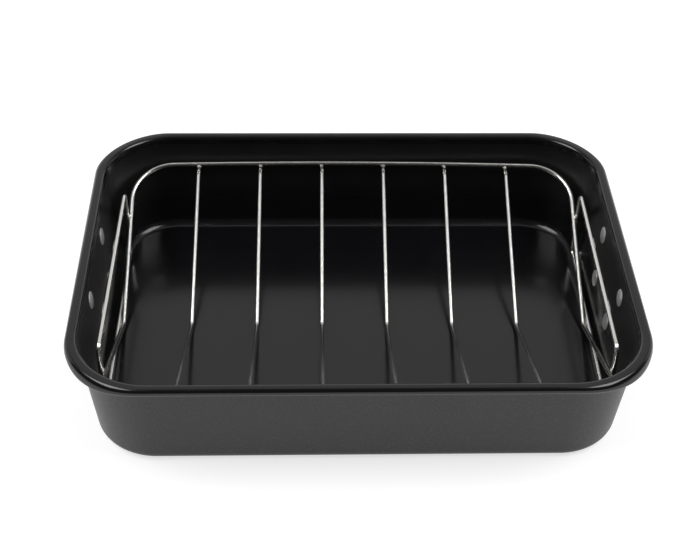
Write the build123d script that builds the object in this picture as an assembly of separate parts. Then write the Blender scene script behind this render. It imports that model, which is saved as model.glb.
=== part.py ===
from build123d import *
import math
import os

# Roasting pan with a lift-out rack. Millimetres and degrees, +Z up, +X along the pan.
# The origin is the middle of the pan's underside.

# Pan: one drawn steel sheet with sloping walls and a rolled rim
pan_length = 380.0
pan_width = 284.0
pan_height = 78.0
sheet = 0.9
wall_draft = 6.7
wall_corner_radius = 50.0
base_radius = 7.0
rim_width = 7.0
rim_corner_radius = 51.5
roll_radius = 3.05
roll_sweep = 240.0
lip_radius = 1.5

# Rack frame: one closed wire, its ends bent to a shallow valley
frame_wire = 3.5
rail_depth = 20.5
rail_gap = 1.9
rail_bow = 2.6
frame_corner_ease = 18.5
valley_floor_gap = 2.5
arm_valley_radius = 6.0

# Rack bars: welded under the two rails
bar_count = 6
bar_wire = 3.0
bar_end_bay = 49.3
bar_level_run = 11.0
bar_knee_radius = 6.0
bar_valley_radius = 6.0

# End loops: welded outside the frame, grip above and foot below
loop_wire = 3.5
loop_corner_gap = 0.8
loop_grip_depth = 17.7
loop_bend_radius = 4.5
foot_seat_angle = 65.0

# Where the loose rack lies in the pan
rack_shift = 0.6
rack_turn = 0.5

# Rivets: upper and lower pairs through each end wall
rivet_shank = 3.8
rivet_head = 12.0
rivet_head_edge = 0.4
rivet_head_crown = 1.0
rivet_tail = 9.0
rivet_tail_edge = 0.6
rivet_tail_crown = 1.6
upper_rivet_depth = 18.0
upper_rivet_reach = 34.8
lower_rivet_depth = 49.3
lower_rivet_reach = 24.0

# Handles: a riveted plate with two rolled knuckles, and a rod that swings in them
plate_thickness = 1.6
plate_margin = 8.0
plate_top_margin = 6.5
plate_corner_radius = 5.0
plate_shoulder_radius = 3.0
pivot_rise = 2.0
knuckle_width = 9.0
tail_gap = 1.7
bail_rod = 5.0
bail_reach = 38.5
bail_splay = 2.7
bail_corner_radius = 12.0
bail_neck_radius = 4.0
bail_rest_angle = 19.0
pin_overhang = 1.0
stop_reach = 12.0

# Fits
seat_gap = 0.3
weld_sink = 0.3
pin_clearance = 0.05
shank_clearance = 0.02
overrun = 5.0

draft_slope = math.tan(math.radians(wall_draft))
sheet_across = sheet / math.cos(math.radians(wall_draft))
rim_underside = pan_height - 2 * roll_radius


def wall_half_length(height):
    """Distance of an end wall's outer face from the middle, at a height."""
    return pan_length / 2 - rim_width - (rim_underside - height) * draft_slope


def wall_half_width(height):
    """Distance of a long wall's outer face from the middle, at a height."""
    return pan_width / 2 - rim_width - (rim_underside - height) * draft_slope


def tapered_block(bottom, top, inset, edge_radius):
    """The space inside the wall's outer face, drawn in by inset, with its bottom edge rounded."""
    outline = RectangleRounded(
        2 * (wall_half_length(bottom) - inset),
        2 * (wall_half_width(bottom) - inset),
        wall_corner_radius - (rim_underside - bottom) * draft_slope - inset,
    )
    block = extrude(Pos(0, 0, bottom) * outline, amount=top - bottom, taper=-wall_draft)
    return fillet(block.faces().sort_by(Axis.Z)[0].edges(), edge_radius)


def arc_point(radius, angle):
    """A point at an angle on a circle about the origin of a flat drawing."""
    return radius * math.cos(math.radians(angle)), radius * math.sin(math.radians(angle))


def roll_section():
    """The curled edge in section, drawn about the middle of the curl."""
    hollow = roll_radius - sheet
    end = 90 - roll_sweep
    middle = 90 - roll_sweep / 2
    outside = ThreePointArc(*(arc_point(roll_radius, angle) for angle in (90, middle, end)))
    inside = ThreePointArc(*(arc_point(hollow, angle) for angle in (end, middle, 90)))
    return make_face([outside, Line(outside @ 1, inside @ 0), inside, Line(inside @ 1, outside @ 0)])


def carried_round(section, half_length, half_width, corner_radius, height):
    """A section carried round a rounded rectangle: extruded along sides, revolved at corners."""
    corner_x = half_length - corner_radius
    corner_y = half_width - corner_radius
    ring = None
    for quarter in range(4):
        along_x = quarter % 2 == 1
        side = 1 if quarter < 2 else -1
        run = 2 * (corner_x if along_x else corner_y)
        outward = Vector(0, side, 0) if along_x else Vector(side, 0, 0)
        forward = Vector(0, 0, 1).cross(outward)
        reach = half_width if along_x else half_length
        start = outward * reach - forward * (run / 2) + Vector(0, 0, height)
        plane = Plane(origin=start, x_dir=outward, z_dir=-forward)
        straight = extrude(plane * section, amount=-run)
        far = start + forward * run
        centre = far - outward * corner_radius
        far_plane = Plane(origin=far, x_dir=outward, z_dir=-forward)
        corner = revolve(far_plane * section, axis=Axis(centre, (0, 0, 1)), revolution_arc=90)
        ring = straight + corner if ring is None else ring + straight + corner
    return ring


def rivet_places():
    """Each rivet of one end wall as its distance along the wall and its height."""
    upper = pan_height - upper_rivet_depth
    lower = pan_height - lower_rivet_depth
    return [
        (-upper_rivet_reach, upper),
        (upper_rivet_reach, upper),
        (-lower_rivet_reach, lower),
        (lower_rivet_reach, lower),
    ]


def wall_plane(along, height):
    """A plane on the right end wall's outer face: x along +Y, y up the wall, z outward."""
    draft = math.radians(wall_draft)
    return Plane(
        origin=(wall_half_length(height), along, height),
        x_dir=(0, 1, 0),
        z_dir=(math.cos(draft), 0, -math.sin(draft)),
    )


def pan_body():
    """Drawn sheet: drafted shell, flat flange and rolled edge, pierced for the rivets."""
    body = tapered_block(0, pan_height, 0, base_radius + sheet)
    flange_outline = RectangleRounded(
        pan_length - 2 * roll_radius,
        pan_width - 2 * roll_radius,
        rim_corner_radius - roll_radius,
    )
    body += extrude(Pos(0, 0, pan_height - sheet) * flange_outline, amount=sheet)
    body += carried_round(
        roll_section(),
        pan_length / 2 - roll_radius,
        pan_width / 2 - roll_radius,
        rim_corner_radius - roll_radius,
        pan_height - roll_radius,
    )
    body -= tapered_block(sheet, pan_height + overrun, sheet_across, base_radius)
    top_face = body.faces().filter_by(Axis.Z).sort_by(Axis.Z)[-1]
    mouth = top_face.inner_wires()[0].edges()
    body = fillet(mouth, lip_radius)
    hole = Cylinder(rivet_shank / 2 + shank_clearance, 2 * overrun)
    for along, height in rivet_places():
        place = wall_plane(along, height)
        body -= place.location * hole
        body -= Rot(0, 0, 180) * place.location * hole
    return body


def dome_middle(radius, crown):
    """Midway point of a spherical cap's section: distance from the axis and height above the rim."""
    ball = (radius**2 + crown**2) / (2 * crown)
    half_angle = math.asin(radius / ball) / 2
    return ball * math.sin(half_angle), crown - ball * (1 - math.cos(half_angle))


def rivet():
    """Low domed head inside the pan, shank through wall and plate, and the set tail outside."""
    grip = sheet + plate_thickness
    shank = rivet_shank / 2
    head = rivet_head / 2
    tail = rivet_tail / 2
    head_x, head_rise = dome_middle(head, rivet_head_crown)
    tail_x, tail_rise = dome_middle(tail, rivet_tail_crown)
    tail_base = grip + rivet_tail_edge
    head_top = (0, -rivet_head_edge - rivet_head_crown)
    head_rim = (head, -rivet_head_edge)
    tail_top = (0, tail_base + rivet_tail_crown)
    tail_rim = (tail, tail_base)
    profile = make_face([
        ThreePointArc(head_top, (head_x, -rivet_head_edge - head_rise), head_rim),
        Polyline(head_rim, (head, 0), (shank, 0), (shank, grip), (tail, grip), tail_rim),
        ThreePointArc(tail_rim, (tail_x, tail_base + tail_rise), tail_top),
        Line(tail_top, head_top),
    ])
    solid = revolve(profile, axis=Axis.Y)
    return Pos(0, 0, -sheet) * Rot(90, 0, 0) * solid


def bent_wire(path, diameter, seam_side):
    """A round wire along a path. Its surface closes along the side named, away from any weld."""
    start = Plane(origin=path @ 0, x_dir=seam_side, z_dir=path % 0)
    return sweep(start * Circle(diameter / 2), path=path)


def valley_slope(run, rise, bend_radius):
    """Slope in degrees of a wire that meets the valley's bend as a tangent.

    run and rise go from the lowest point of the bend's centre line to the slope's upper end.
    """
    centre_rise = rise - bend_radius
    distance = math.hypot(run, centre_rise)
    return math.degrees(math.atan2(centre_rise, run) + math.asin(bend_radius / distance))


def valley_vertex(low_point, slope, bend_radius):
    """Height where the two straight slopes would cross, below the bend."""
    return low_point - bend_radius * (1 / math.cos(math.radians(slope)) - 1)


# Rack sizes that follow from the pan
rail_height = pan_height - rail_depth
frame_corner_radius = wall_corner_radius - frame_corner_ease
loop_half_width = wall_half_width(rim_underside) - wall_corner_radius - loop_corner_gap
rail_reach = wall_half_width(rail_height) - sheet_across - rail_gap - frame_wire / 2
frame_low_point = sheet + valley_floor_gap + frame_wire / 2
bar_low_point = sheet + valley_floor_gap + bar_wire / 2
frame_slope = valley_slope(rail_reach, rail_height - frame_low_point, arm_valley_radius)
frame_vertex = valley_vertex(frame_low_point, frame_slope, arm_valley_radius)

turn_reach = loop_half_width * math.sin(math.radians(rack_turn))
seat_radius = base_radius - loop_wire / 2 - seat_gap
seat_centre_x = wall_half_length(sheet + base_radius) - sheet_across - base_radius / math.cos(
    math.radians(wall_draft)
)
loop_reach = (
    seat_centre_x
    + seat_radius * math.sin(math.radians(foot_seat_angle))
    - rack_shift
    - turn_reach
)
foot_height = sheet + base_radius - seat_radius * math.cos(math.radians(foot_seat_angle))
arm_reach = loop_reach - (loop_wire + frame_wire) / 2 + weld_sink
bar_spacing = 2 * (arm_reach - bar_end_bay) / (bar_count - 1)
bow_radius = (arm_reach**2 + rail_bow**2) / (2 * rail_bow)


def frame_point(along, up_slope, side):
    """A point of the frame: along X, up the slope from the valley, on the back (1) or front (-1)."""
    slope = math.radians(frame_slope)
    return Vector(along, side * up_slope * math.cos(slope), frame_vertex + up_slope * math.sin(slope))


def frame_quarter(side):
    """Half a rail, a corner and half an arm, from the rail's middle down to the valley bend."""
    rail_up = rail_reach / math.cos(math.radians(frame_slope))
    bow_centre = rail_up - bow_radius
    corner_x = arm_reach - frame_corner_radius
    to_corner = math.sqrt((bow_radius - frame_corner_radius) ** 2 - corner_x**2)
    corner_up = bow_centre + to_corner
    join = math.degrees(math.atan2(to_corner, corner_x))

    def on_bow(angle):
        x, up = arc_point(bow_radius, angle)
        return frame_point(x, bow_centre + up, side)

    def on_corner(angle):
        x, up = arc_point(frame_corner_radius, angle)
        return frame_point(corner_x + x, corner_up + up, side)

    bend_start = arm_valley_radius * math.tan(math.radians(frame_slope))
    rail = ThreePointArc(on_bow(90), on_bow((90 + join) / 2), on_bow(join))
    corner = ThreePointArc(on_corner(join), on_corner(join / 2), on_corner(0))
    arm = Line(corner @ 1, frame_point(arm_reach, bend_start, side))
    return [rail, corner, arm]


def rack_frame():
    """Closed perimeter wire: right half swept from rail middle to rail middle, then mirrored."""
    back = frame_quarter(1)
    front = frame_quarter(-1)
    low_point = Vector(arm_reach, 0, frame_low_point)
    bend = ThreePointArc(back[-1] @ 1, low_point, front[-1] @ 1)
    half = bent_wire(Wire(back + [bend] + front), frame_wire, (0, 0, 1))
    return half + mirror(half, about=Plane.YZ)


def rail_point(along):
    """Y reach and height of the rail's centre line at a place along X."""
    bow = bow_radius - math.sqrt(bow_radius**2 - along**2)
    rail_up = rail_reach / math.cos(math.radians(frame_slope)) - bow
    point = frame_point(along, rail_up, 1)
    return point.Y, point.Z


def rail_piece(along, side):
    """A short straight length of the rail's wire where a bar crosses it, at the back (1) or front (-1)."""
    rail_y, rail_z = rail_point(along)
    lean = math.radians(frame_slope)
    inward = -along / math.sqrt(bow_radius**2 - along**2)
    heading = Vector(1, side * inward * math.cos(lean), inward * math.sin(lean))
    place = Plane(origin=(along, side * rail_y, rail_z), z_dir=heading)
    return place.location * Cylinder(frame_wire / 2, 2 * bar_wire)


def rack_bar(along):
    """One cross wire: level end under each rail, two slopes and a valley, coped to the rails."""
    rail_y, rail_z = rail_point(along)
    end_z = rail_z - (frame_wire + bar_wire) / 2 + weld_sink
    end_y = rail_y + frame_wire / 2
    knee_y = end_y - bar_level_run
    slope = valley_slope(knee_y, end_z - bar_low_point, bar_valley_radius)
    vertex = valley_vertex(bar_low_point, slope, bar_valley_radius)
    path = FilletPolyline(
        (along, -end_y, end_z),
        (along, -knee_y, end_z),
        (along, 0, vertex),
        (along, knee_y, end_z),
        (along, end_y, end_z),
        radius=[bar_knee_radius, bar_valley_radius, bar_knee_radius],
    )
    return bent_wire(path, bar_wire, (1, 0, 0)) - rail_piece(along, 1) - rail_piece(along, -1)


def end_loop(frame):
    """Closed upright loop at the right end, coped where it is welded to the frame."""
    grip_height = pan_height - loop_grip_depth
    path = FilletPolyline(
        (loop_reach, 0, grip_height),
        (loop_reach, loop_half_width, grip_height),
        (loop_reach, loop_half_width, foot_height),
        (loop_reach, 0, foot_height),
        radius=loop_bend_radius,
    )
    half = bent_wire(path, loop_wire, (1, 0, 0))
    return half + mirror(half, about=Plane.XZ) - frame


# Handle sizes that follow from the wall, the rivets and the rod
pivot_depth = upper_rivet_depth - pivot_rise
pivot_height = pan_height - pivot_depth
knuckle_radius = bail_rod / 2 + pin_clearance + plate_thickness
knuckle_inner = upper_rivet_reach + rivet_tail / 2 + tail_gap + pin_overhang
knuckle_outer = knuckle_inner + knuckle_width
hang_angle = bail_rest_angle + wall_draft
leg_top = knuckle_outer + seat_gap + bail_neck_radius
leg_foot = leg_top + bail_splay


def down_wall(depth):
    """Distance down the wall from the pivot to a depth below the rim's top."""
    return (depth - pivot_depth) / math.cos(math.radians(wall_draft))


def handle_plate():
    """Riveted plate with a rolled knuckle at each top corner and a bent stop tab below each."""
    top = plate_top_margin - down_wall(upper_rivet_depth)
    bottom = -down_wall(lower_rivet_depth) - plate_margin
    foot = lower_rivet_reach + plate_margin
    shoulder = knuckle_inner - seat_gap
    flank = -knuckle_radius
    outline = Polyline(
        (-shoulder, top),
        (shoulder, top),
        (shoulder, 0),
        (knuckle_outer, 0),
        (knuckle_outer, flank),
        (foot, bottom),
        (-foot, bottom),
        (-knuckle_outer, flank),
        (-knuckle_outer, 0),
        (-shoulder, 0),
        close=True,
    )
    plate = extrude(make_face(outline), amount=plate_thickness)
    plate = fillet(plate.edges().filter_by(Axis.Z).group_by(Axis.Y)[0], plate_corner_radius)
    plate = fillet(plate.edges().filter_by(Axis.Z).group_by(Axis.Y)[-1], plate_shoulder_radius)
    slope = math.radians(hang_angle)
    tab_height = knuckle_radius + stop_reach * math.tan(slope) - (bail_rod / 2 + seat_gap) / math.cos(slope)
    tab_outer = leg_top + bail_splay * stop_reach / bail_reach + bail_rod / 2
    tab_align = (Align.CENTER, Align.MAX, Align.MIN)
    for side in (-1, 1):
        knuckle = Rot(0, 90, 0) * Cylinder(knuckle_radius, knuckle_width)
        bore = Rot(0, 90, 0) * Cylinder(bail_rod / 2 + pin_clearance, knuckle_width + overrun)
        centre = Pos(side * (knuckle_inner + knuckle_outer) / 2, 0, knuckle_radius)
        plate = plate + centre * knuckle - centre * bore
        tab = Box(tab_outer - knuckle_inner, plate_thickness, tab_height, align=tab_align)
        plate += Pos(side * (tab_outer + knuckle_inner) / 2, -stop_reach, 0) * tab
    pivot = wall_plane(0, pivot_height)
    plate = pivot.location * plate
    for along, height in rivet_places():
        hole = Cylinder(rivet_shank / 2 + shank_clearance, 2 * overrun)
        plate -= wall_plane(along, height).location * hole
    return plate


def handle_bail():
    """Bent rod: a pin in each knuckle, two legs and the grip, hanging on the stop tabs."""
    slope = math.radians(hang_angle)

    def rod_point(along, reach):
        return Vector(along, -reach * math.cos(slope), knuckle_radius + reach * math.sin(slope))

    pin_end = knuckle_inner - pin_overhang
    path = FilletPolyline(
        rod_point(-pin_end, 0),
        rod_point(-leg_top, 0),
        rod_point(-leg_foot, bail_reach),
        rod_point(leg_foot, bail_reach),
        rod_point(leg_top, 0),
        rod_point(pin_end, 0),
        radius=[bail_neck_radius, bail_corner_radius, bail_corner_radius, bail_neck_radius],
    )
    return wall_plane(0, pivot_height).location * bent_wire(path, bail_rod, (0, 0, 1))


def write(node, solid):
    """One node, one file."""
    export_step(solid, "parts/" + node + ".step")


os.makedirs("parts", exist_ok=True)
rack_place = Pos(rack_shift, 0, 0) * Rot(0, 0, -rack_turn)
half_turn = Rot(0, 0, 180)

write("pan_body", pan_body())

frame_solid = rack_frame()
write("rack_frame", rack_place * frame_solid)
for number in range(bar_count):
    bar_x = (number - (bar_count - 1) / 2) * bar_spacing
    write(f"rack_bar_{number + 1}", rack_place * rack_bar(bar_x))

loop_solid = end_loop(frame_solid)
write("rack_end_loop_right", rack_place * loop_solid)
write("rack_end_loop_left", rack_place * half_turn * loop_solid)

plate_solid = handle_plate()
bail_solid = handle_bail()
rivet_solid = rivet()
for end, turn in (("right", Rot(0, 0, 0)), ("left", half_turn)):
    write("handle_plate_" + end, turn * plate_solid)
    write("handle_bail_" + end, turn * bail_solid)
    for number, (along, height) in enumerate(rivet_places()):
        seat = wall_plane(along, height).location
        write(f"rivet_{end}_{number + 1}", turn * seat * rivet_solid)
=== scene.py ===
import math
import bpy
import numpy as np
from mathutils import Matrix, Vector


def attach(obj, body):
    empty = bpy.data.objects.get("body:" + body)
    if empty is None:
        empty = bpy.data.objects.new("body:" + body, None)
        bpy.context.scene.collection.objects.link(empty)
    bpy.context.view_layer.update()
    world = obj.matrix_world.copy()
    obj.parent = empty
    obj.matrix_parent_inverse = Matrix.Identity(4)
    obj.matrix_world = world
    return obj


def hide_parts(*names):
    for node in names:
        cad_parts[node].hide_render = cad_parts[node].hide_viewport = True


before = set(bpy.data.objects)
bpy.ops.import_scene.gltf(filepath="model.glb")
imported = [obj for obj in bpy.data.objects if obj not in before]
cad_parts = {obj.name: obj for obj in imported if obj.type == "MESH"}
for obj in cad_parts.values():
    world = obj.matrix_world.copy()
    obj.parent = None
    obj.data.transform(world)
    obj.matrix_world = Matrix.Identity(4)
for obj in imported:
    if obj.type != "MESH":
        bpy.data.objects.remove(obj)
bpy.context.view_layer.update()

# Pan body. One sheet of steel is drawn to a deep tray with sloping walls, and its edge is turned
# out flat and rolled under. A black non-stick coating is sprayed on and baked, glossy inside and
# over the rim, dull and finely flecked outside. Millimetres, from the middle of the underside.
sheet = 0.9
lean = math.radians(6.7)
slope = math.tan(lean)
rim_top = 78.0
roll = 3.05
roll_axis = (186.95, rim_top - roll)
wall_foot = 174.554
wall_corner = (133.0, 85.0)
floor_start = wall_corner[0] + 2.0
rim_corner = (138.5, 90.5)
base_round = 7.0
lip_round = 3.0
crease_round = 0.5
cut_end = -140.0
corner_steps, side_steps = 26, 12

# How far the rim drops at the middle of a corner, at the roll's axis. The drop grows with the
# square of the distance from the lip, to about 2.8 mm at the roll's outermost edge.
corner_dip = 0.3


def arc(centre, radius, first, last, steps):
    """Arc points: the centre plus the radius times cosine and sine of evenly stepped angles."""
    angle = np.radians(np.linspace(first, last, steps + 1))
    return np.column_stack((centre[0] + radius * np.cos(angle), centre[1] + radius * np.sin(angle)))


def run(start, end, shares):
    """Points between two ends, each a share of the way from start to end."""
    share = np.array(shares)[:, None]
    return np.array(start) + (np.array(end) - np.array(start)) * share


def rounded_rings(corner_x, corner_y, radius, corner_steps, side_steps):
    """Rounded rectangles, one for each value given, anticlockwise from above.

    A corner is a quarter circle about (corner_x, corner_y), repeated with both signs of each. A
    side is the line from one corner's last point to the next corner's first, cut in equal steps.
    """
    turn = np.radians(np.linspace(0, 90, corner_steps + 1))
    corners = []
    for quarter, (way_x, way_y) in enumerate(((1, 1), (-1, 1), (-1, -1), (1, -1))):
        angle = turn + quarter * math.pi / 2
        corners.append(np.stack((
            way_x * corner_x[:, None] + radius[:, None] * np.cos(angle),
            way_y * corner_y[:, None] + radius[:, None] * np.sin(angle),
        ), axis=-1))
    share = np.arange(1, side_steps)[None, :, None] / side_steps
    pieces = []
    for quarter in range(4):
        last = corners[quarter][:, -1:]
        following = corners[(quarter + 1) % 4][:, :1]
        pieces += [corners[quarter], last + (following - last) * share]
    return np.concatenate(pieces, axis=1)


def skin(name, rows, closed=False):
    """A mesh over rows of points in millimetres. Each row closes up on itself.

    A closed skin also joins its last row to its first; an open one gets a flat face over each end.
    """
    count, width = rows.shape[:2]
    index = np.arange(count * width).reshape(count, width)
    near = index if closed else index[:-1]
    far = np.roll(index, -1, axis=0) if closed else index[1:]
    quads = np.stack((near, far, np.roll(far, -1, axis=1), np.roll(near, -1, axis=1)), axis=-1)
    faces = quads.reshape(-1, 4).tolist()
    if not closed:
        faces += [index[0].tolist(), index[-1][::-1].tolist()]
    mesh = bpy.data.meshes.new(name)
    mesh.from_pydata((rows.reshape(-1, 3) * 0.001).tolist(), [], faces)
    mesh.polygons.foreach_set("use_smooth", [True] * len(faces))
    mesh.update()
    piece = bpy.data.objects.new(name, mesh)
    bpy.context.scene.collection.objects.link(piece)
    return piece


class Socket:
    """An output socket in a node tree. Sums, differences, products and > on it add Math nodes."""

    def __init__(self, tree, output):
        self.tree = tree
        self.output = output

    def node(self, kind, settings=None, sockets=None, output=0):
        """Adds a node: its settings first, then its values or links. Gives the output asked for."""
        made = self.tree.nodes.new(kind)
        for name, value in (settings or {}).items():
            setattr(made, name, value)
        for key, value in (sockets or {}).items():
            if isinstance(value, Socket):
                self.tree.links.new(value.output, made.inputs[key])
            else:
                made.inputs[key].default_value = value
        return Socket(self.tree, made.outputs[output]) if made.outputs else None

    def maths(self, operation, first, second):
        """A Math node on two values, each a number or a socket."""
        return self.node("ShaderNodeMath", {"operation": operation}, {0: first, 1: second})

    def __add__(self, other):
        return self.maths("ADD", self, other)

    def __sub__(self, other):
        return self.maths("SUBTRACT", self, other)

    def __rsub__(self, other):
        return self.maths("SUBTRACT", other, self)

    def __mul__(self, other):
        return self.maths("MULTIPLY", self, other)

    def __gt__(self, other):
        return self.maths("GREATER_THAN", self, other)

    __radd__ = __add__
    __rmul__ = __mul__

    def noise(self, scale, detail=2.0):
        """Noise from 0 to 1 over these coordinates, with so many grains in a metre."""
        sockets = {"Vector": self, "Scale": scale, "Detail": detail}
        return self.node("ShaderNodeTexNoise", {}, sockets)

    def between(self, first, second):
        """The colour this share of the way from the first to the second."""
        sockets = {0: self, 6: (*first, 1.0), 7: (*second, 1.0)}
        return self.node("ShaderNodeMix", {"data_type": "RGBA"}, sockets, output=2)

    def bump(self, depth):
        """Normals of a surface raised by this height times a depth in metres."""
        return self.node("ShaderNodeBump", {}, {"Height": self, "Distance": depth})


def finish(name, uniform, varying):
    """A material: uniform values set on its shader, varying ones worked out from the place."""
    material = bpy.data.materials.new(name)
    material.use_nodes = True
    tree = material.node_tree
    shader = tree.nodes["Principled BSDF"]
    for key, value in uniform.items():
        shader.inputs[key].default_value = value
    place = Socket(tree, tree.nodes.new("ShaderNodeTexCoord").outputs["Object"])
    for key, value in varying(place).items():
        tree.links.new(value.output, shader.inputs[key])
    return material


def glossy_black(place):
    """Baked coating: a faint orange peel, smoother and duller patches, and a near-black colour.

    It is duller on the walls. That share is (height - 20 mm) over 20 mm from below, (74 mm -
    height) over 5 mm from above, and 1 between, so the floor and the lip stay glossy.
    """
    peel = place.noise(620.0) + 0.35 * place.noise(2100.0)
    patches = place.noise(22.0, 4.0)
    height = place.node("ShaderNodeSeparateXYZ", {}, {0: place}, output="Z")
    climb = height.maths("MAXIMUM", 50.0 * height - 1.0, 0.0)
    below_lip = height.maths("MAXIMUM", 14.8 - 200.0 * height, 0.0)
    on_wall = height.maths("MINIMUM", height.maths("MINIMUM", climb, below_lip), 1.0)
    return {
        "Base Color": patches.between((0.003, 0.003, 0.0036), (0.0045, 0.0045, 0.0054)),
        "Roughness": 0.14 + 0.05 * patches + 0.03 * place.noise(900.0) + 0.22 * on_wall,
        "Normal": peel.bump(0.000004),
    }


def flecked_black(place):
    """Outer coating: duller, with fine pale flecks of two sizes over a rougher skin."""
    cells = place.node(
        "ShaderNodeTexVoronoi", {}, {"Vector": place, "Scale": 1500.0}, output="Color"
    )
    chance = cells.node("ShaderNodeSeparateColor", {}, {"Color": cells})
    fine = place.noise(3200.0, 3.0)
    patches = place.noise(30.0, 3.0)
    flecks = 0.75 * (chance > 0.9) + 0.4 * (fine > 0.66)
    skin_height = place.noise(1400.0, 3.0) + 0.5 * flecks
    return {
        "Base Color": flecks.between((0.0105, 0.0105, 0.0108), (0.055, 0.055, 0.054)),
        "Roughness": 0.34 + 0.06 * patches + 0.08 * fine,
        "Normal": skin_height.bump(0.000014),
    }


def outer_wall_at(height):
    """How far the end wall's outer face is from the middle, at a height."""
    return wall_foot + height * slope


def inner_wall_at(height):
    """The same for its inner face: the sheet's thickness, measured level, further in."""
    return outer_wall_at(height) - sheet / math.cos(lean)


foot_z = sheet + base_round
base_centre = (inner_wall_at(foot_z) - base_round / math.cos(lean), foot_z)
lip_centre = (inner_wall_at(rim_top - lip_round) + lip_round / math.cos(lean), rim_top - lip_round)
crease_z = rim_top - sheet - crease_round
crease_centre = (outer_wall_at(crease_z) + crease_round / math.cos(lean), crease_z)
tip_centre = (
    roll_axis[0] + (roll - sheet / 2) * math.cos(math.radians(cut_end)),
    roll_axis[1] + (roll - sheet / 2) * math.sin(math.radians(cut_end)),
)
lean_degrees = math.degrees(lean)
inner_round = arc(base_centre, base_round, -90, -lean_degrees, 14)
outer_round = arc(base_centre, base_round + sheet, -lean_degrees, -90, 14)
lip = arc(lip_centre, lip_round, 180 - lean_degrees, 90, 8)
crease = arc(crease_centre, crease_round, 90, 180 - lean_degrees, 4)
crown = arc(roll_axis, roll, 90, cut_end, 30)
tip = arc(tip_centre, sheet / 2, cut_end, cut_end - 180, 6)
hollow = arc(roll_axis, roll - sheet, cut_end, 90, 22)
inside = np.concatenate((
    run((floor_start, sheet), inner_round[0], (0, 0.5, 0.98)), inner_round,
    run(inner_round[-1], lip[0], (0.01, 0.25, 0.5, 0.75, 0.99)), lip,
))
rolled = np.concatenate((run(lip[-1], crown[0], (0.12, 0.88)), crown))
outside = np.concatenate((
    tip[1:-1], hollow, run(hollow[-1], crease[0], (0.3, 0.9)), crease,
    run(crease[-1], outer_round[0], (0.01, 0.25, 0.5, 0.75, 0.99)), outer_round,
    run(outer_round[-1], (floor_start, 0), (0.02, 0.5, 1)),
))
profile = np.concatenate((inside, rolled, outside))
under_rim = len(tip) - 2 + len(hollow)
on_rim = np.concatenate((
    np.zeros(len(inside)), (0.12, 0.88), np.ones(len(crown)),
    np.ones(under_rim), (0.7, 0.1), np.zeros(len(outside) - under_rim - 2),
))
corner_x = wall_corner[0] + (rim_corner[0] - wall_corner[0]) * on_rim
corner_y = wall_corner[1] + (rim_corner[1] - wall_corner[1]) * on_rim
outline = rounded_rings(
    corner_x, corner_y, profile[:, 0] - corner_x, corner_steps, side_steps
)
over_corner = np.sin(np.radians(np.linspace(0, 180, corner_steps + 1))) ** 2
around = np.concatenate([np.append(over_corner, np.zeros(side_steps - 1))] * 4)
past_lip = np.clip((profile[:, 0] - lip[-1, 0]) / (roll_axis[0] - lip[-1, 0]), 0, None)
heights = (profile[:, 1][:, None] - corner_dip * past_lip[:, None] ** 2 * around)[..., None]
pan = skin("pan_shell", np.concatenate((outline, heights), axis=-1))

coating = {"IOR": 1.5}
pan.data.materials.append(finish("coating_glossy", coating, glossy_black))
pan.data.materials.append(finish("coating_flecked", coating, flecked_black))
columns = outline.shape[1]
first_outer = (len(inside) + len(rolled)) * columns
outer_face = np.arange(len(pan.data.polygons)) >= first_outer
outer_face[-2] = False  # the flat floor inside; the last face is the underside
pan.data.polygons.foreach_set("material_index", outer_face.astype(np.int32))
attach(pan, "pan")
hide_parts("pan_body")

# Handle plates. Each is a stamped stainless plate riveted to the outside of an end wall. Its top
# corners are curled round the handle's rod, and a tab below each curl stops the hanging rod.
# The CAD plate's own shape is kept; its corners are merged and its cut edges are broken.


def satin_steel(place):
    """Stamped sheet: rolling lines along its length, soft blotches from tumbling, fine grain."""
    drawn = place.node("ShaderNodeMapping", {}, {"Vector": place, "Scale": (1800.0, 60.0, 1800.0)})
    lines = drawn.noise(1.0, 3.0)
    blotches = place.noise(130.0, 3.0)
    return {
        "Base Color": blotches.between((0.5, 0.5, 0.51), (0.63, 0.63, 0.64)),
        "Roughness": 0.26 + 0.16 * lines + 0.06 * blotches,
        "Normal": (lines + 0.6 * place.noise(900.0)).bump(0.000008),
    }


def softened(node, edge):
    """A copy of a CAD node in one piece: doubles merged, flat faces joined, edges bevelled."""
    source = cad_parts[node]
    piece = bpy.data.objects.new(node + "_formed", source.data.copy())
    bpy.context.scene.collection.objects.link(piece)
    piece.data.materials.clear()
    weld = piece.modifiers.new("weld", "WELD")
    weld.merge_threshold = 0.000002
    flat = piece.modifiers.new("flat", "DECIMATE")
    flat.decimate_type = "DISSOLVE"
    flat.angle_limit = math.radians(0.5)
    bevel = piece.modifiers.new("edges", "BEVEL")
    bevel.width = edge * 0.001
    bevel.segments = 3
    bevel.limit_method = "ANGLE"
    bevel.angle_limit = math.radians(40)
    bevel.harden_normals = True
    piece.data.polygons.foreach_set("use_smooth", [True] * len(piece.data.polygons))
    return piece


steel = {"Metallic": 1.0, "IOR": 1.5}
plate_steel = finish("steel_satin", steel, satin_steel)
for side in ("left", "right"):
    plate = softened("handle_plate_" + side, 0.25)
    plate.data.materials.append(plate_steel)
    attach(plate, "pan")
    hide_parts("handle_plate_" + side)

# Rivets. Steel rivets go through each end wall and its plate: a wide low head inside the pan, and
# outside a smaller tail that the riveting tool has domed. Each is turned about its own line.
shank = 1.9
head = (6.0, 0.4, 1.0)
tail = (4.5, 0.6, 1.6)
grip = sheet + 1.6


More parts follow.
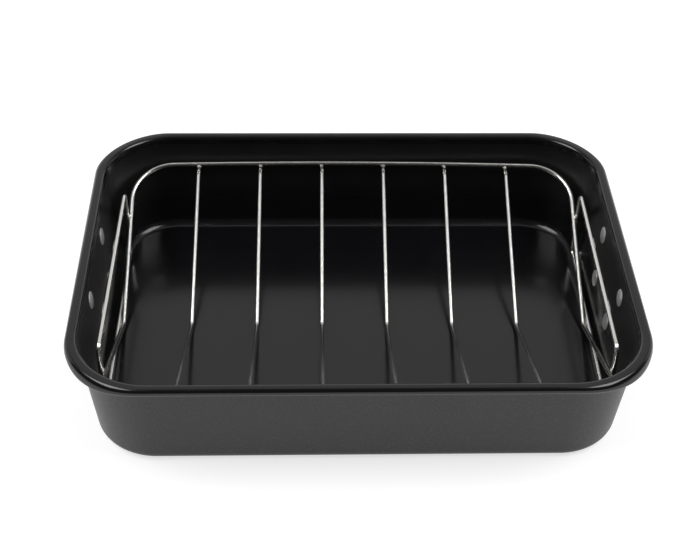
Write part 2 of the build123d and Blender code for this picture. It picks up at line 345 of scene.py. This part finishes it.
def turned(name, contour, origin, across_way, axis_way, sides):
    """A contour of (radius, height) pairs carried round an axis.

    A point is the origin plus the height along the axis plus the radius times
    (cosine of the angle along the cross direction, sine along the third).
    """
    angle = np.radians(np.arange(sides) * 360 / sides)
    third = np.cross(axis_way, across_way)
    ring = np.outer(np.cos(angle), across_way) + np.outer(np.sin(angle), third)
    rows = (
        np.array(origin)
        + contour[:, 1][:, None, None] * np.array(axis_way)
        + contour[:, 0][:, None, None] * ring[None, :, :]
    )
    return skin(name, rows)


def dome(radius, edge, crown_height, steps, corner=0.22):
    """Contour of a low domed disc from its foot to its top.

    It rises up the edge, turns in over a small round, and then follows a ball whose radius is
    (reach squared plus crown squared) over twice the crown.
    """
    reach = radius - corner
    ball = (reach**2 + crown_height**2) / (2 * crown_height)
    half = math.asin(reach / ball)
    angle = np.linspace(half, 0.03, steps)
    cap = np.column_stack((ball * np.sin(angle), edge + crown_height - ball * (1 - np.cos(angle))))
    turn = np.radians(np.linspace(0, 90 - math.degrees(half), 5))[:-1]
    rim = np.column_stack((reach + corner * np.cos(turn), edge - corner + corner * np.sin(turn)))
    rim[:, 0] += (cap[0, 0] - reach)
    return np.concatenate((((radius, 0.0),), rim, cap))


def pressed_steel(place):
    """Rivet metal: dull from pressing, with a fine dimpled skin and slightly worn patches."""
    dimples = place.noise(1100.0, 3.0)
    patches = place.noise(260.0)
    return {
        "Base Color": patches.between((0.74, 0.74, 0.75), (0.86, 0.86, 0.87)),
        "Roughness": 0.36 + 0.14 * dimples + 0.06 * patches,
        "Normal": dimples.bump(0.00002),
    }


rivet_steel = finish("steel_pressed", steel, pressed_steel)
head_contour = dome(*head, 14)
tail_contour = dome(*tail, 12)
head_side = np.column_stack((head_contour[::-1, 0], -sheet - head_contour[::-1, 1]))
tail_side = np.column_stack((tail_contour[:, 0], grip - sheet + tail_contour[:, 1]))
rivet_contour = np.concatenate((
    head_side, ((shank, -sheet), (shank, grip - sheet)), tail_side,
))
rivet_spots = ((-34.8, 60.0), (34.8, 60.0), (-24.0, 28.7), (24.0, 28.7))
for side, way in (("right", 1), ("left", -1)):
    for number, (along, height) in enumerate(rivet_spots):
        node = f"rivet_{side}_{number + 1}"
        spot = (way * outer_wall_at(height), way * along, height)
        outward = (way * math.cos(lean), 0.0, -math.sin(lean))
        rivet = turned(node + "_set", rivet_contour, spot, (0.0, 1.0, 0.0), outward, 40)
        rivet.data.materials.append(rivet_steel)
        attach(rivet, "pan")
        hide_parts(node)

# Handle rods. A 5 mm stainless rod is bent to a wide loop whose two ends turn in and sit loose in
# the plate's curls. It hangs down on the plate's tabs and swings up and out, past the rim.
rod = 2.5
pivot = (185.959, 61.516)
hang = math.radians(19.0)
pin_end, leg_top, leg_foot, rod_reach = 41.0, 55.3, 58.0, 38.5
neck_bend, corner_bend = 4.0, 12.0


def bent_path(corners, bends, steps=12):
    """A path through straight runs whose inner corners are rounded.

    At a corner the bend's centre lies on the half angle, at the bend radius over the sine of half
    the corner's angle, and its arc meets both runs as a tangent.
    """
    corners = np.array(corners, dtype=float)
    points = [corners[:1]]
    for corner, before, after, bend in zip(corners[1:-1], corners[:-2], corners[2:], bends):
        back = (before - corner) / np.linalg.norm(before - corner)
        ahead = (after - corner) / np.linalg.norm(after - corner)
        half = math.acos(np.clip(back @ ahead, -1, 1)) / 2
        middle = (back + ahead) / np.linalg.norm(back + ahead)
        centre = corner + middle * bend / math.sin(half)
        sweep = math.pi / 2 - half
        side = (ahead - back) / np.linalg.norm(ahead - back)
        angle = np.linspace(-sweep, sweep, steps + 1)[:, None]
        points.append(centre + bend * (side * np.sin(angle) - middle * np.cos(angle)))
    points.append(corners[-1:])
    return np.concatenate(points)


def wire(name, path, normals, radius, closed=False, edge=0.0, sides=28):
    """A round wire along a path.

    Each ring of points is the path's point plus the radius times (cosine along the normal, minus
    sine along the cross direction), in the plane that halves the angle between the runs on both
    sides. An open wire's ends are closed by a quarter round of the edge's size and a flat face.
    """
    path = np.array(path, dtype=float)
    ahead = np.roll(path, -1, axis=0) - path
    if not closed:
        ahead[-1] = ahead[-2]
    ahead /= np.linalg.norm(ahead, axis=1)[:, None]
    back = np.roll(ahead, 1, axis=0)
    if not closed:
        back[0] = ahead[0]
    tangent = ahead + back
    tangent /= np.linalg.norm(tangent, axis=1)[:, None]
    normal = np.broadcast_to(np.array(normals, dtype=float), path.shape)
    normal = normal - tangent * np.sum(normal * tangent, axis=1)[:, None]
    normal = normal / np.linalg.norm(normal, axis=1)[:, None]
    across_way = np.cross(tangent, normal)
    size = np.full(len(path), radius)
    if edge:
        steps = 4
        turn = np.radians(np.linspace(0, 90, steps + 1))
        taper = radius - edge * (1 - np.sin(turn))
        inset = (edge * (1 - np.cos(turn)))[:, None]
        start = path[0] + inset * tangent[0]
        finish_end = path[-1] - inset[::-1] * tangent[-1]
        path = np.concatenate((start, path[1:-1], finish_end))
        size = np.concatenate((taper, size[1:-1], taper[::-1]))
        spread = np.pad(np.arange(len(normal)), steps, mode="edge")
        normal, across_way = normal[spread], across_way[spread]
    angle = np.radians(np.arange(sides) * 360 / sides)[None, :, None]
    ring = np.cos(angle) * normal[:, None, :] - np.sin(angle) * across_way[:, None, :]
    return skin(name, path[:, None, :] + size[:, None, None] * ring, closed)


def polished_steel(place):
    """Bent rod: ground fine, so it mirrors softly, with faint marks and slight unevenness."""
    marks = place.noise(700.0, 4.0)
    waves = place.noise(90.0)
    return {
        "Base Color": waves.between((0.58, 0.58, 0.59), (0.68, 0.68, 0.68)),
        "Roughness": 0.15 + 0.12 * marks,
        "Normal": (marks + waves).bump(0.000006),
    }


def on_rod(way, along, reach):
    """A place on the hanging handle: along its pivot line, and so far out from it."""
    return (
        way * (pivot[0] + reach * math.sin(hang)),
        way * along,
        pivot[1] - reach * math.cos(hang),
    )


rod_steel = finish("steel_polished", steel, polished_steel)
for side, way in (("right", 1), ("left", -1)):
    runs = [
        on_rod(way, -pin_end, 0), on_rod(way, -leg_top, 0), on_rod(way, -leg_foot, rod_reach),
        on_rod(way, leg_foot, rod_reach), on_rod(way, leg_top, 0), on_rod(way, pin_end, 0),
    ]
    path = bent_path(runs, (neck_bend, corner_bend, corner_bend, neck_bend), 16)
    facing = (way * math.cos(hang), 0.0, math.sin(hang))
    bail = wire(f"handle_rod_{side}", path, facing, rod, edge=0.5)
    bail.data.materials.append(rod_steel)
    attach(bail, "bail_" + side)
    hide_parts("handle_bail_" + side)

# Rack frame. One bright-plated steel wire is bent to a rounded rectangle, its long rails slightly
# bowed, and both short arms are then bent down in the middle to a shallow valley.
# The rack lies loose in the pan, a little to the right and turned by half a degree.
frame_wire = 1.75
rail_reach = 128.744
rail_height = 57.5
rail_bow = 2.6
frame_round = 31.5
arm_reach = 167.35
arm_low = 5.15
valley_bend = 6.0
rack_shift, rack_turn = 0.6, math.radians(0.5)


def laid(points):
    """Points of the rack as it lies in the pan: turned clockwise from above, then moved along."""
    points = np.array(points, dtype=float)
    cosine, sine = math.cos(rack_turn), math.sin(rack_turn)
    turned_x = points[..., 0] * cosine + points[..., 1] * sine
    turned_y = points[..., 1] * cosine - points[..., 0] * sine
    return np.stack((turned_x + rack_shift, turned_y, points[..., 2]), axis=-1)


def swung(vectors):
    """Directions of the rack as it lies in the pan: turned only."""
    return laid(vectors) - np.array((rack_shift, 0.0, 0.0))


def valley(reach, rise, bend):
    """Slope of a wire that meets the valley's bend as a tangent, and the height of its crossing.

    The slope is the angle up to the wire's end from the bend's centre plus the angle whose sine is
    the bend over that distance. The slopes would cross at the low point less bend times
    (secant - 1).
    """
    distance = math.hypot(reach, rise - bend)
    tilt = math.atan2(rise - bend, reach) + math.asin(bend / distance)
    return tilt, bend * (1 / math.cos(tilt) - 1)


def bright_plating(place):
    """Nickel and chrome over drawn wire: mirror-like, with soft ripples and a milky bloom."""
    bloom = place.noise(160.0, 4.0)
    ripple = place.noise(420.0, 2.0)
    return {
        "Base Color": bloom.between((0.8, 0.775, 0.74), (0.9, 0.89, 0.87)),
        "Roughness": 0.15 + 0.12 * bloom,
        "Normal": (ripple + 0.3 * place.noise(1500.0)).bump(0.000002),
    }


plating = finish("plating_bright", steel, bright_plating)
frame_slope, frame_dip = valley(rail_reach, rail_height - arm_low, valley_bend)
rail_up = rail_reach / math.cos(frame_slope)
bow_radius = (arm_reach**2 + rail_bow**2) / (2 * rail_bow)
bow_centre = rail_up - bow_radius
corner_along = arm_reach - frame_round
to_corner = math.sqrt((bow_radius - frame_round) ** 2 - corner_along**2)
corner_up = bow_centre + to_corner
join = math.degrees(math.atan2(to_corner, corner_along))
bow = arc((0.0, bow_centre), bow_radius, 90, join, 16)
bend_corner = arc((corner_along, corner_up), frame_round, join, 0, 26)[1:]
arm_end = valley_bend * math.tan(frame_slope)
arm = run(bend_corner[-1], (arm_reach, arm_end), (0.25, 0.5, 0.75))
flat_quarter = np.concatenate((bow, bend_corner, arm))


def on_slope(flat, side):
    """Flat (along, up-slope) points laid on the back (1) or front (-1) slope of the valley."""
    return np.column_stack((
        flat[:, 0],
        side * flat[:, 1] * math.cos(frame_slope),
        arm_low - frame_dip + flat[:, 1] * math.sin(frame_slope),
    ))


bend_angle = np.linspace(frame_slope, -frame_slope, 9)
bend_points = np.column_stack((
    np.full(len(bend_angle), arm_reach), valley_bend * np.sin(bend_angle),
    arm_low + valley_bend * (1 - np.cos(bend_angle)),
))
bend_normals = np.column_stack((
    np.zeros(len(bend_angle)), -np.sin(bend_angle), np.cos(bend_angle),
))
back_normal = np.array((0.0, -math.sin(frame_slope), math.cos(frame_slope)))
half_path = np.concatenate((
    on_slope(flat_quarter, 1), bend_points, on_slope(flat_quarter[::-1], -1),
))
half_normals = np.concatenate((
    np.repeat(back_normal[None], len(flat_quarter), axis=0), bend_normals,
    np.repeat((back_normal * (1, -1, 1))[None], len(flat_quarter), axis=0),
))
mirrored = half_path[::-1] * (-1, 1, 1)
loop_path = np.concatenate((half_path, mirrored[1:-1]))
loop_normals = np.concatenate((half_normals, half_normals[::-1][1:-1]))
rack_frame = wire(
    "rack_frame_wire", laid(loop_path), swung(loop_normals), frame_wire, closed=True
)
rack_frame.data.materials.append(plating)
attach(rack_frame, "rack")
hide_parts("rack_frame")

# Rack bars. Six thinner wires cross under the rails, each bent level at both ends and to a valley
# in the middle. They are spot-welded to the rails before plating.
bar_count = 6
bar_wire = 1.5
bar_spacing = 47.22
bar_low = 4.9
level_run = 11.0
knee_bend = 6.0
weld_sink = 0.3


def rail_at(along):
    """Reach and height of the rail's middle line at a place along the rack, from its bow."""
    up = rail_up - (bow_radius - math.sqrt(bow_radius**2 - along**2))
    return up * math.cos(frame_slope), arm_low - frame_dip + up * math.sin(frame_slope)


weld_spots = []
for number in range(bar_count):
    along = (number - (bar_count - 1) / 2) * bar_spacing
    rail_y, rail_z = rail_at(along)
    level_z = rail_z - frame_wire - bar_wire + weld_sink
    end_y = rail_y + frame_wire
    knee_y = end_y - level_run
    _, bar_dip = valley(knee_y, level_z - bar_low, valley_bend)
    runs = [
        (along, -end_y, level_z), (along, -knee_y, level_z), (along, 0, bar_low - bar_dip),
        (along, knee_y, level_z), (along, end_y, level_z),
    ]
    path = bent_path(runs, (knee_bend, valley_bend, knee_bend), 10)
    bar = wire(
        f"rack_bar_{number + 1}_wire", laid(path), swung((1.0, 0.0, 0.0)), bar_wire, edge=0.35
    )
    bar.data.materials.append(plating)
    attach(bar, "rack")
    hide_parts(f"rack_bar_{number + 1}")
    weld_z = rail_z - frame_wire + weld_sink / 2
    for back in (1, -1):
        weld_spots.append(((along, back * rail_y, weld_z), (0.0, 0.0, 1.0)))

# End loops. A wire is bent to an upright rounded loop at each end of the rack: the grip on top, and
# the foot that the rack stands on below. It is welded to the outside of the frame's arms.
loop_reach = 170.55
loop_half = 84.2
grip_z = 60.3
foot_z_line = 5.817
loop_bend = 4.5
for side, way in (("right", 1), ("left", -1)):
    corners = [
        (way * loop_reach, 0, foot_z_line), (way * loop_reach, loop_half, foot_z_line),
        (way * loop_reach, loop_half, grip_z), (way * loop_reach, -loop_half, grip_z),
        (way * loop_reach, -loop_half, foot_z_line), (way * loop_reach, 0, foot_z_line),
    ]
    path = bent_path(corners, (loop_bend,) * 4, 12)[:-1]
    loop = wire(
        f"rack_loop_{side}_wire", laid(path), swung((1.0, 0.0, 0.0)), frame_wire, closed=True
    )
    loop.data.materials.append(plating)
    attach(loop, "rack")
    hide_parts("rack_end_loop_" + side)
    leg_z = arm_low - frame_dip + loop_half * math.tan(frame_slope)
    touch_x = way * (arm_reach + loop_reach) / 2
    for back in (1, -1):
        weld_spots.append(((touch_x, back * loop_half, leg_z), (1.0, 0.0, 0.0)))
    weld_spots.append(((touch_x, 0.0, (arm_low + foot_z_line) / 2), (1.0, 0.0, 0.0)))

# Weld spots. Where two wires were pressed together and welded, a little metal is squeezed out
# round the contact. It was plated with the wires, and stays slightly rougher and duller.


def beads(name, spots, reach, depth, steps=10, sides=20):
    """Lumpy flat beads, all in one mesh.

    Each point is the spot plus cosine of latitude times the reach in the flat directions and sine
    of latitude times the depth along the weld's line. The reach swells by 0.1 of the cosine of
    three times the angle round and 0.06 of that of five times, each started elsewhere on every
    bead.
    """
    latitude = np.linspace(-1.45, 1.45, steps)[:, None]
    angle = (np.arange(sides) * 2 * math.pi / sides)[None, :]
    points, faces = [], []
    for number, (spot, way) in enumerate(spots):
        way = swung(way)
        flat_way = swung((0.0, 1.0, 0.0))
        third = np.cross(way, flat_way)
        lumps = 0.1 * np.cos(3 * angle + number) + 0.06 * np.cos(5 * angle + 2 * number)
        radial = np.cos(latitude) * (reach * (1 + lumps))
        level = np.cos(angle)[..., None] * flat_way + np.sin(angle)[..., None] * third
        raised = (np.sin(latitude) * depth)[..., None] * way
        grid = laid(spot) + radial[..., None] * level + raised
        index = np.arange(steps * sides).reshape(steps, sides) + number * steps * sides
        near, far = index[:-1], index[1:]
        quads = np.stack((near, np.roll(near, -1, axis=1), np.roll(far, -1, axis=1), far), axis=-1)
        faces += quads.reshape(-1, 4).tolist() + [index[0][::-1].tolist(), index[-1].tolist()]
        points.append(grid.reshape(-1, 3))
    mesh = bpy.data.meshes.new(name)
    mesh.from_pydata((np.concatenate(points) * 0.001).tolist(), [], faces)
    mesh.polygons.foreach_set("use_smooth", [True] * len(faces))
    piece = bpy.data.objects.new(name, mesh)
    bpy.context.scene.collection.objects.link(piece)
    return piece


def burnt_plating(place):
    """Plating over weld metal: pitted, rougher, and a little straw-coloured from the heat."""
    pits = place.noise(1500.0, 4.0)
    return {
        "Base Color": pits.between((0.36, 0.31, 0.25), (0.66, 0.63, 0.58)),
        "Roughness": 0.22 + 0.25 * pits,
        "Normal": pits.bump(0.00005),
    }


welds = beads("rack_welds", weld_spots, 2.1, 0.75)
welds.data.materials.append(finish("plating_over_welds", steel, burnt_plating))
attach(welds, "rack")

# Floor, light and camera. The pan stands on a plain white table in a dim studio. A soft light hangs
# high beyond each end, with a dim strip between them, and pale cards stand behind and beside it.
# The camera looks down at 40 degrees.
floor_mesh = bpy.data.meshes.new("studio_floor")
floor_mesh.from_pydata([(-6, -6, 0), (6, -6, 0), (6, 6, 0), (-6, 6, 0)], [], [(0, 1, 2, 3)])
floor = bpy.data.objects.new("studio_floor", floor_mesh)
bpy.context.scene.collection.objects.link(floor)
white_table = bpy.data.materials.new("table_white")
white_table.use_nodes = True
tree = white_table.node_tree
table_shader = tree.nodes["Principled BSDF"]
table_shader.inputs["Base Color"].default_value = (0.42, 0.42, 0.42, 1.0)
table_shader.inputs["Roughness"].default_value = 0.9
table_shader.inputs["Specular IOR Level"].default_value = 0.0

# Where the table is seen, straight on or mirrored, it also shines with a white of its own: this much
# in the middle, and so much more for each metre away, up to full white.
middle_white, white_per_metre = 0.62, 0.4
ray = tree.nodes.new("ShaderNodeLightPath").outputs
seen = Socket(tree, ray["Is Camera Ray"]) + Socket(tree, ray["Is Glossy Ray"])
seen = seen + Socket(tree, ray["Is Transmission Ray"])
spot = Socket(tree, tree.nodes.new("ShaderNodeTexCoord").outputs["Object"])
away = spot.node("ShaderNodeVectorMath", {"operation": "LENGTH"}, {0: spot}, output="Value")
lift = seen * away.maths("MINIMUM", middle_white + white_per_metre * away, 1.0)
table_shader.inputs["Emission Strength"].default_value = 1.0
tree.links.new(lift.output, table_shader.inputs["Emission Color"])
floor_mesh.materials.append(white_table)

world = bpy.data.worlds.new("studio")
bpy.context.scene.world = world
world.use_nodes = True
tree = world.node_tree
tree.nodes.clear()
room = Socket(tree, tree.nodes.new("ShaderNodeLightPath").outputs["Is Camera Ray"])
grey = room.node("ShaderNodeBackground", {}, {"Color": (0.07, 0.07, 0.07, 1.0), "Strength": 1.0})
white = room.node("ShaderNodeBackground", {}, {"Color": (1.0, 1.0, 1.0, 1.0), "Strength": 1.0})
mixed = room.node("ShaderNodeMixShader", {}, {0: room, 1: grey, 2: white})
room.node("ShaderNodeOutputWorld", {}, {"Surface": mixed})


def softbox(name, place, aim, width, depth, radiance):
    """An area light facing a point. Its power is its radiance times its area times pi."""
    lamp = bpy.data.lights.new(name, "AREA")
    lamp.shape = "RECTANGLE"
    lamp.size = width
    lamp.size_y = depth
    lamp.energy = radiance * width * depth * math.pi
    light = bpy.data.objects.new(name, lamp)
    bpy.context.scene.collection.objects.link(light)
    light.location = place
    light.rotation_euler = (Vector(aim) - Vector(place)).to_track_quat("-Z", "Y").to_euler()


softbox("softbox_right", (0.81, -0.2, 1.13), (0.0, 0.0, 0.05), 0.75, 0.7, 6.5)
softbox("softbox_left", (-0.81, -0.2, 1.13), (0.0, 0.0, 0.05), 0.75, 0.7, 6.5)
softbox("overhead_strip", (0.0, 0.27, 1.35), (0.0, 0.0, 0.05), 2.4, 0.44, 0.8)
softbox("back_card", (0.0, 2.5, 2.65), (0.0, 0.0, 2.65), 4.6, 3.1, 0.6)
softbox("low_card", (0.0, 2.5, 0.55), (0.0, 0.0, 0.55), 4.6, 1.1, 1.1)
softbox("side_card_right", (1.5, 0.75, 0.62), (0.0, 0.05, 0.05), 0.9, 0.85, 0.85)
softbox("side_card_left", (-1.5, 0.75, 0.62), (0.0, 0.05, 0.05), 0.9, 0.85, 0.85)

# The camera's place is given in millimetres along its own view from the middle of the rim's plane,
# before it is turned by the heading. The focal length is in pixels of a picture 700 pixels wide.
tilt, heading, level = math.radians(40.0), 0.0425, 0.0235
eye_left, eye_back, eye_down = 3.5, 987.1, 23.2
focal_pixels, picture_pixels = 1423.0, 700.0
across_view = np.array((1.0, 0.0, 0.0))
into_view = np.array((0.0, math.cos(tilt), -math.sin(tilt)))
up_view = np.array((0.0, math.sin(tilt), math.cos(tilt)))
turn_back = np.array((
    (math.cos(heading), math.sin(heading), 0.0),
    (-math.sin(heading), math.cos(heading), 0.0),
    (0.0, 0.0, 1.0),
))
eye = turn_back @ (-eye_left * across_view - eye_back * into_view - eye_down * up_view)
eye = eye + (0.0, 0.0, rim_top)
right_way = turn_back @ (math.cos(level) * across_view + math.sin(level) * up_view)
top_way = turn_back @ (math.cos(level) * up_view - math.sin(level) * across_view)
back_way = -(turn_back @ into_view)
lens = bpy.data.cameras.new("camera")
lens.sensor_width = 36.0
lens.lens = focal_pixels / picture_pixels * lens.sensor_width
lens.clip_start = 0.01
camera = bpy.data.objects.new("camera", lens)
bpy.context.scene.collection.objects.link(camera)
axes = np.column_stack((right_way, top_way, back_way, eye * 0.001))
camera.matrix_world = Matrix(np.vstack((axes, (0.0, 0.0, 0.0, 1.0))).tolist())
bpy.context.scene.camera = camera
bpy.context.scene.view_settings.view_transform = "Standard"
